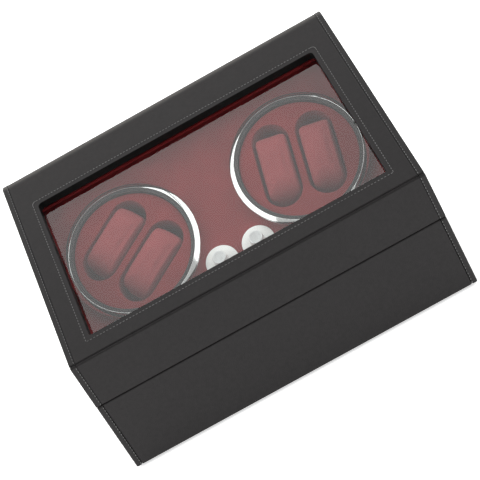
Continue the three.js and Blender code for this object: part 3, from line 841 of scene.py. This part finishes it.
PILLOW = {"width": 26.6, "length": 62.8, "height": 40.6, "power": 4.0}
PILLOW_CENTRE = WELL["bottom"] + 0.5 + 21.0  # above a small gap and half a filled pillow's height
BAG_SCALE = 0.01  # a bag is blown up at ten times life size, where its cloth moves more calmly
BAG = {"edge": 1.0, "mesh": 1.2, "swell": 0.9}  # the swell is how far its cloth may move
BLOW_UP = {"pressure": 4, "stiffness": 20, "bending": 2, "quality": 6, "frames": 20}
# the sewn edges: their places from a pillow's middle, their thread and the rays that find them
WELT = {"x": 12.2, "radius": 0.35, "sunk": 0.12, "reach": 60}


def superellipse(a, b, power, steps):
    """A closed outline between an ellipse, at power 2, and a rectangle."""
    made = []
    for i in range(steps):
        angle = 2 * math.pi * i / steps
        c, s = math.cos(angle), math.sin(angle)
        x = math.copysign(abs(c) ** (2 / power), c) * a
        y = math.copysign(abs(s) ** (2 / power), s) * b
        made.append((x, y))
    return made


def pillow_mesh():
    """One stuffed pillow about the origin: a cloth bag blown up a little."""
    half = (PILLOW["length"] / 2, PILLOW["height"] / 2)
    outline = superellipse(*half, PILLOW["power"], 64)
    width = PILLOW["width"] / 2
    bag = prism("pillow_bag", outline, -width, width, Matrix.Scale(BAG_SCALE, 4))
    edge = bag.modifiers.new("edge", "BEVEL")
    edge.width = BAG["edge"] * BAG_SCALE
    edge.segments = 3
    edge.limit_method = "ANGLE"
    remesh = bag.modifiers.new("remesh", "REMESH")
    remesh.mode = "VOXEL"
    remesh.voxel_size = BAG["mesh"] * BAG_SCALE
    settle(bag)
    start = [vertex.co.copy() for vertex in bag.data.vertices]
    normals = [vertex.normal.copy() for vertex in bag.data.vertices]
    blow_up(bag)
    cap = BAG["swell"] * BAG_SCALE
    for vertex, before, normal in zip(bag.data.vertices, start, normals):
        moved = vertex.co - before
        if moved.length > cap:
            vertex.co = before + moved.normalized() * cap
    smooth = bag.modifiers.new("smooth", "SUBSURF")
    smooth.levels = smooth.render_levels = 1
    settle(bag)
    mesh = bag.data
    mesh.transform(Matrix.Scale(1 / BAG_SCALE, 4))
    bpy.data.objects.remove(bag)
    return mesh


def blow_up(bag):
    """Lets the bag's cloth swell under pressure, and keeps the shape it comes to."""
    cloth = bag.modifiers.new("cloth", "CLOTH")
    cloth.settings.use_pressure = True
    cloth.settings.uniform_pressure_force = BLOW_UP["pressure"]
    cloth.settings.effector_weights.gravity = 0
    cloth.settings.quality = BLOW_UP["quality"]
    cloth.settings.tension_stiffness = BLOW_UP["stiffness"]
    cloth.settings.compression_stiffness = BLOW_UP["stiffness"]
    cloth.settings.bending_stiffness = BLOW_UP["bending"]
    cloth.point_cache.frame_start = 1
    cloth.point_cache.frame_end = BLOW_UP["frames"]
    for step in range(1, BLOW_UP["frames"] + 1):
        bpy.context.scene.frame_set(step)
    settle(bag)
    bpy.context.scene.frame_set(1)


def surface_loop(tree, x, steps=72):
    """Points just under the pillow's surface, all round it at that x."""
    made = []
    for i in range(steps):
        angle = 2 * math.pi * i / steps
        ray = Vector((0, math.cos(angle), math.sin(angle)))
        hit, normal, _, _ = tree.ray_cast(Vector((x, 0, 0)) + ray * WELT["reach"], -ray)
        if hit:
            made.append(hit - normal * WELT["sunk"])
    return made


def welt(name, points, matrix, material):
    """A sewn edge: a thin closed tube along points."""
    curve = bpy.data.curves.new(name, "CURVE")
    curve.dimensions = "3D"
    curve.bevel_depth = WELT["radius"]
    curve.bevel_resolution = 2
    spline = curve.splines.new("POLY")
    spline.points.add(len(points) - 1)
    for point, position in zip(spline.points, points):
        point.co = (*position, 1)
    spline.use_cyclic_u = True
    obj = bpy.data.objects.new(name, curve)
    bpy.context.scene.collection.objects.link(obj)
    tube = bpy.data.meshes.new_from_object(obj)
    bpy.data.objects.remove(obj)
    tube.transform(matrix)
    for polygon in tube.polygons:
        polygon.use_smooth = True
    return mesh_object(name, tube, material)


def make_pillows(mesh):
    points = [vertex.co for vertex in mesh.vertices]
    tree = BVHTree.FromPolygons(points, [tuple(polygon.vertices) for polygon in mesh.polygons])
    loops = [surface_loop(tree, sign * WELT["x"]) for _, sign in SIDES]
    for name, sign in SIDES:
        station = turntable_frame(sign, TURN[name])
        for index, side in enumerate((-1, 1), 1):
            x = side * WELL["spacing"] / 2
            spot = station @ Matrix.Translation((x, 0, PILLOW_CENTRE))
            copy = mesh.copy()
            copy.transform(spot)
            copy.materials.clear()
            for polygon in copy.polygons:
                polygon.use_smooth = True
            pillow = mesh_object(f"pillow_{name}_{index}", copy, PILLOW_LIT_VELVET)
            place(pillow, f"turntable_{name}", "velvet", f"watch_pillow_{name}_{index}")
            for edge, loop in enumerate(loops, 1):
                tube = welt(f"pillow_seam_{name}_{index}{edge}", loop, spot, PILLOW_LIT_VELVET)
                place(tube, f"turntable_{name}", "velvet")


# ---- knobs and dials -------------------------------------------------------------------------

# (radius, height) round a knob's shaft, from the deck up
DIAL = [
    (SHAFT_HOLE, 0.3),
    (15.0, 0.3),
    (15.2, 0.5),
    (15.2, 0.9),
    (14.95, 1.1),
    (3.5, 1.1),
    (SHAFT_HOLE, 0.95),
]
KNOB_BODY = [
    (0, -12),
    (2, -12),
    (2, 1.5),
    (6.6, 1.5),
    (6.9, 1.8),
    (6.9, 3.0),
    (6.6, 3.4),
    (6.5, 13.4),
    (6.4, 13.6),
    (6.2, 13.7),
    (6.1, 13.5),
    (0, 13.5),
]
KNOB_CAP = [
    (0, 13.3),
    (5.95, 13.3),
    (6.0, 14.1),
    (5.8, 14.35),
    (5.4, 14.5),
    (4.9, 14.45),
    (0, 14.4),
]
KNOB_MARK = [(-0.4, 4.6), (0.4, 4.6), (0.4, 6.8), (-0.4, 6.8)]  # seen from above
KNOB_MARK_ENDS = (3.8, 12.8)  # its heights above the deck


def make_dial(name, sign):
    spot = DECK @ Matrix.Translation((sign * KNOB.x, KNOB.y, 0))
    disc = lathe(f"dial_{name}", DIAL, spot, WHITE, 96, closed=True)
    place(disc, "base", "white_plastic", f"label_disc_{name}")

    knob = lathe(f"knob_body_{name}", KNOB_BODY, spot, WHITE, 64)
    place(knob, f"knob_{name}", "white_plastic", f"knob_{name}")
    cap = lathe(f"knob_cap_{name}", KNOB_CAP, spot, SATIN, 64)
    place(cap, f"knob_{name}", "chrome")
    mark = prism(f"knob_mark_{name}", KNOB_MARK, *KNOB_MARK_ENDS, spot, PRINT, along_z)
    soften(mark, 0.15, 2)
    place(mark, f"knob_{name}", "white_plastic")


# ---- small fittings --------------------------------------------------------------------------

FOOT = [(0, 0), (6.4, 0), (7.1, 0.25), (7.6, 0.8), (8, 2.0), (7.9, 2.2), (0, 2.2)]
FOOT_INSET = 20  # from the case's sides to a foot's middle
FOOT_DROP = 2.5
# (radius, height) about the inlet's bore, outwards from the case's back
SOCKET = [
    (0, -14),
    (5.5, -14),
    (5.5, 0),
    (8, 0),
    (8, 1.0),
    (7.8, 1.4),
    (7.3, 1.6),
    (4.2, 1.6),
    (3.9, 1.3),
    (3.4, 1.1),
    (3.0, 0.8),
    (3.0, -7.9),
    (0, -7.9),
]
PIN = [(0, -8.2), (1, -8.2), (1, -1.5), (0.7, -1.1), (0, -1)]
WELD = 1e-5  # metres


def make_feet():
    for row, y in (("front", FOOT_INSET), ("rear", DEPTH - FOOT_INSET)):
        for name, sign in SIDES:
            spot = CASE @ Matrix.Translation((sign * (HALF - FOOT_INSET), y, -FOOT_DROP))
            foot = lathe(f"rubber_foot_{row}_{name}", FOOT, spot, RUBBER, 48)
            place(foot, "base", "rubber", f"foot_{row}_{name}")


def make_jack():
    bore = CASE @ Matrix.Translation((JACK["x"], DEPTH + JACK["proud"], JACK["z"]))
    spot = bore @ Matrix.Rotation(-math.pi / 2, 4, "X")
    socket = lathe("power_socket", SOCKET, spot, BLACK, 64)
    place(socket, "base", "black_plastic", "dc_jack")
    place(lathe("power_pin", PIN, spot, STEEL, 24), "base", "steel")


def finish_node(node, material, width=0.0):
    """Keeps a node of the frame, with its material and, where width is given, rounded edges."""
    obj = NODES[node]
    if not obj.material_slots:
        obj.data.materials.append(material)
    for slot in obj.material_slots:
        slot.material = material
    if width:
        weld = obj.modifiers.new("weld", "WELD")
        weld.merge_threshold = WELD
        soften(obj, width, 2, 35)


def finish_kept_nodes():
    kept = [
        ("rear_ledge", VELVET, 0.8),
        ("lid_glass", GLASS, 0),
        ("glass_retainer", VELVET, 0.5),
        ("control_board", CIRCUIT, 0),
    ]
    for name, _ in SIDES:
        kept += [
            (f"side_lining_{name}", VELVET, 0.8),
            (f"hinge_base_leaf_{name}", BRASS, 0.15),
            (f"hinge_lid_leaf_{name}", BRASS, 0.15),
            (f"hinge_pin_{name}", STEEL, 0),
            (f"rotary_switch_{name}", BLACK, 0.4),
            (f"turntable_drum_{name}", BLACK, 0),
            (f"turntable_spindle_{name}", BLACK, 0),
            (f"spindle_bush_{name}", BRASS, 0),
            (f"drive_carrier_{name}", BLACK, 0),
            (f"drive_belt_{name}", RUBBER, 0),
            (f"gear_motor_{name}", STEEL, 0),
            (f"motor_pulley_{name}", WHITE, 0),
        ]
    for node, material, width in kept:
        finish_node(node, material, width)


FLOOR_HALF = 4.0  # metres
FLOOR_GLOW = 0.6  # lifts the floor to the brightness of a lit studio sweep


def make_floor():
    bm = bmesh.new()
    bmesh.ops.create_grid(bm, x_segments=2, y_segments=2, size=FLOOR_HALF)
    floor = from_bmesh("floor", bm, Matrix.Identity(4))
    finish = Finish("studio_floor", 0.7)
    finish.colour(finish.noise(3, 2), (0.3, (0.93, 0.93, 0.93)), (0.7, (0.96, 0.96, 0.96)))
    finish.shader.inputs["Emission Color"].default_value = (1, 1, 1, 1)
    finish.shader.inputs["Emission Strength"].default_value = FLOOR_GLOW
    floor.data.materials.append(finish.material)


make_lid()
make_base()
make_stitching()
make_deck()
for side_name, side_sign in SIDES:
    make_ring(side_name, side_sign)
    make_insert(side_name, side_sign)
    make_dial(side_name, side_sign)
make_pillows(pillow_mesh())
make_feet()
make_jack()
finish_kept_nodes()
make_floor()
